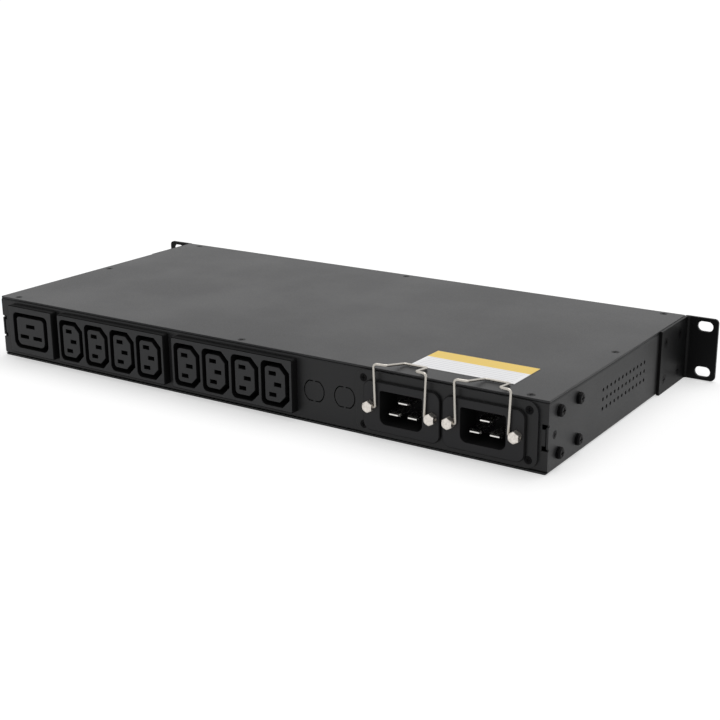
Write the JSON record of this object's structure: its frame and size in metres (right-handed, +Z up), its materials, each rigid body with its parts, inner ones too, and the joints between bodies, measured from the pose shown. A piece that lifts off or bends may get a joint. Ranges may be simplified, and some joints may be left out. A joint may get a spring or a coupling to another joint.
{
  "type": "rack static transfer switch",
  "caption": "Low steel rack unit that switches its outlets between sources: appliance outlets and inlets at the rear, swinging wire cord retainers, vented sides and slotted rack ears.",
  "frame": {"origin": "centre of the case footprint on the plane it stands on", "axes": "+X to the right seen from the front, +Y from the rack ears towards the sockets at the rear, +Z up"},
  "size_m": [0.4826, 0.2229, 0.0488],
  "materials": {
    "case_paint": "fine powder coat",
    "cover_paint": "fine powder coat",
    "ear_paint": "fine powder coat",
    "plate_paint": "fine powder coat",
    "inlet_plastic": "moulded satin",
    "outlet_plastic": "moulded satin",
    "pin_metal": "nickel plated",
    "post_steel": "zinc plated",
    "nut_steel": "zinc plated",
    "wire_steel": "drawn bright wire",
    "contact_brass": "stamped",
    "black_screw": "black oxide",
    "label_film": "printed film",
    "sink_aluminium": "extruded",
    "module_plastic": "moulded",
    "strap_copper": "bare copper",
    "post_brass": "turned",
    "board_green": "solder mask",
    "relay_case": "moulded",
    "coil_brown": "taped coil",
    "sensor_blue": "dipped",
    "fuse_ceramic": "ceramic",
    "film_case": "moulded",
    "terminal_green": "moulded",
    "jack_metal": "plated shell",
    "lamp_lens": "diffused lens",
    "button_plastic": "moulded",
    "lead_a": "wire insulation",
    "lead_b": "wire insulation",
    "lead_out": "wire insulation"
  },
  "bodies": {
    "chassis": {"base_tray": "case_paint", "rear_panel": "case_paint", "front_plate": "case_paint", "top_cover": "cover_paint", "rack_ear_right": "ear_paint", "rack_ear_left": "ear_paint", "inlet_plate": "plate_paint", "inlet_a_housing": "inlet_plastic", "inlet_b_housing": "inlet_plastic", "inlet_a_pins": "pin_metal", "inlet_b_pins": "pin_metal", "retainer_posts": "post_steel", "post_nuts": "nut_steel", "outlet_bank_1": "outlet_plastic", "outlet_bank_2": "outlet_plastic", "outlet_large": "outlet_plastic", "bank_1_contacts": "contact_brass", "bank_2_contacts": "contact_brass", "large_contacts": "contact_brass", "outlet_bus_bars": "contact_brass", "cover_screws": "black_screw", "side_screws": "black_screw", "corner_screws": "black_screw", "plate_screws": "black_screw", "ear_screws": "black_screw", "cover_label": "label_film", "heatsink": "sink_aluminium", "heatsink_screws": "nut_steel", "thyristor_modules": "module_plastic", "module_screws": "nut_steel", "module_straps": "strap_copper", "strap_posts": "post_brass", "strap_screws": "nut_steel", "power_board": "board_green", "board_posts": "post_brass", "board_screws": "nut_steel", "relays": "relay_case", "supply_transformers": "coil_brown", "current_sensors": "sensor_blue", "varistors": "sensor_blue", "fuses": "fuse_ceramic", "fuse_clips": "contact_brass", "film_capacitors": "film_case", "terminal_blocks": "terminal_green", "control_board": "board_green", "control_chips": "module_plastic", "network_jack": "jack_metal", "serial_jack": "module_plastic", "display_board": "board_green", "display_posts": "post_brass", "status_lamps": "lamp_lens", "button_switch": "module_plastic", "inlet_a_leads": "lead_a", "inlet_b_leads": "lead_b", "outlet_leads": "lead_out", "earth_stud": "post_brass"},
    "cord_retainer_a": {"retainer_a": "wire_steel"},
    "cord_retainer_b": {"retainer_b": "wire_steel"},
    "preference_button": {"select_button": "button_plastic", "switch_plunger": "button_plastic"}
  },
  "joints": [
    {"name": "retainer_a_swing", "type": "hinge", "parent": "chassis", "child": "cord_retainer_a", "pos_m": [-0.12485, 0.1103, 0.0213], "axis": [-1, 0, 0], "range_deg": [0, 135]},
    {"name": "retainer_b_swing", "type": "hinge", "parent": "chassis", "child": "cord_retainer_b", "pos_m": [-0.17935, 0.1103, 0.0213], "axis": [-1, 0, 0], "range_deg": [0, 135]},
    {"name": "button_press", "type": "slide", "parent": "chassis", "child": "preference_button", "axis": [0, 1, 0], "range_m": [0, 0.0015], "stiffness_N_per_m": 600, "springref_m": -0.001}
  ]
}
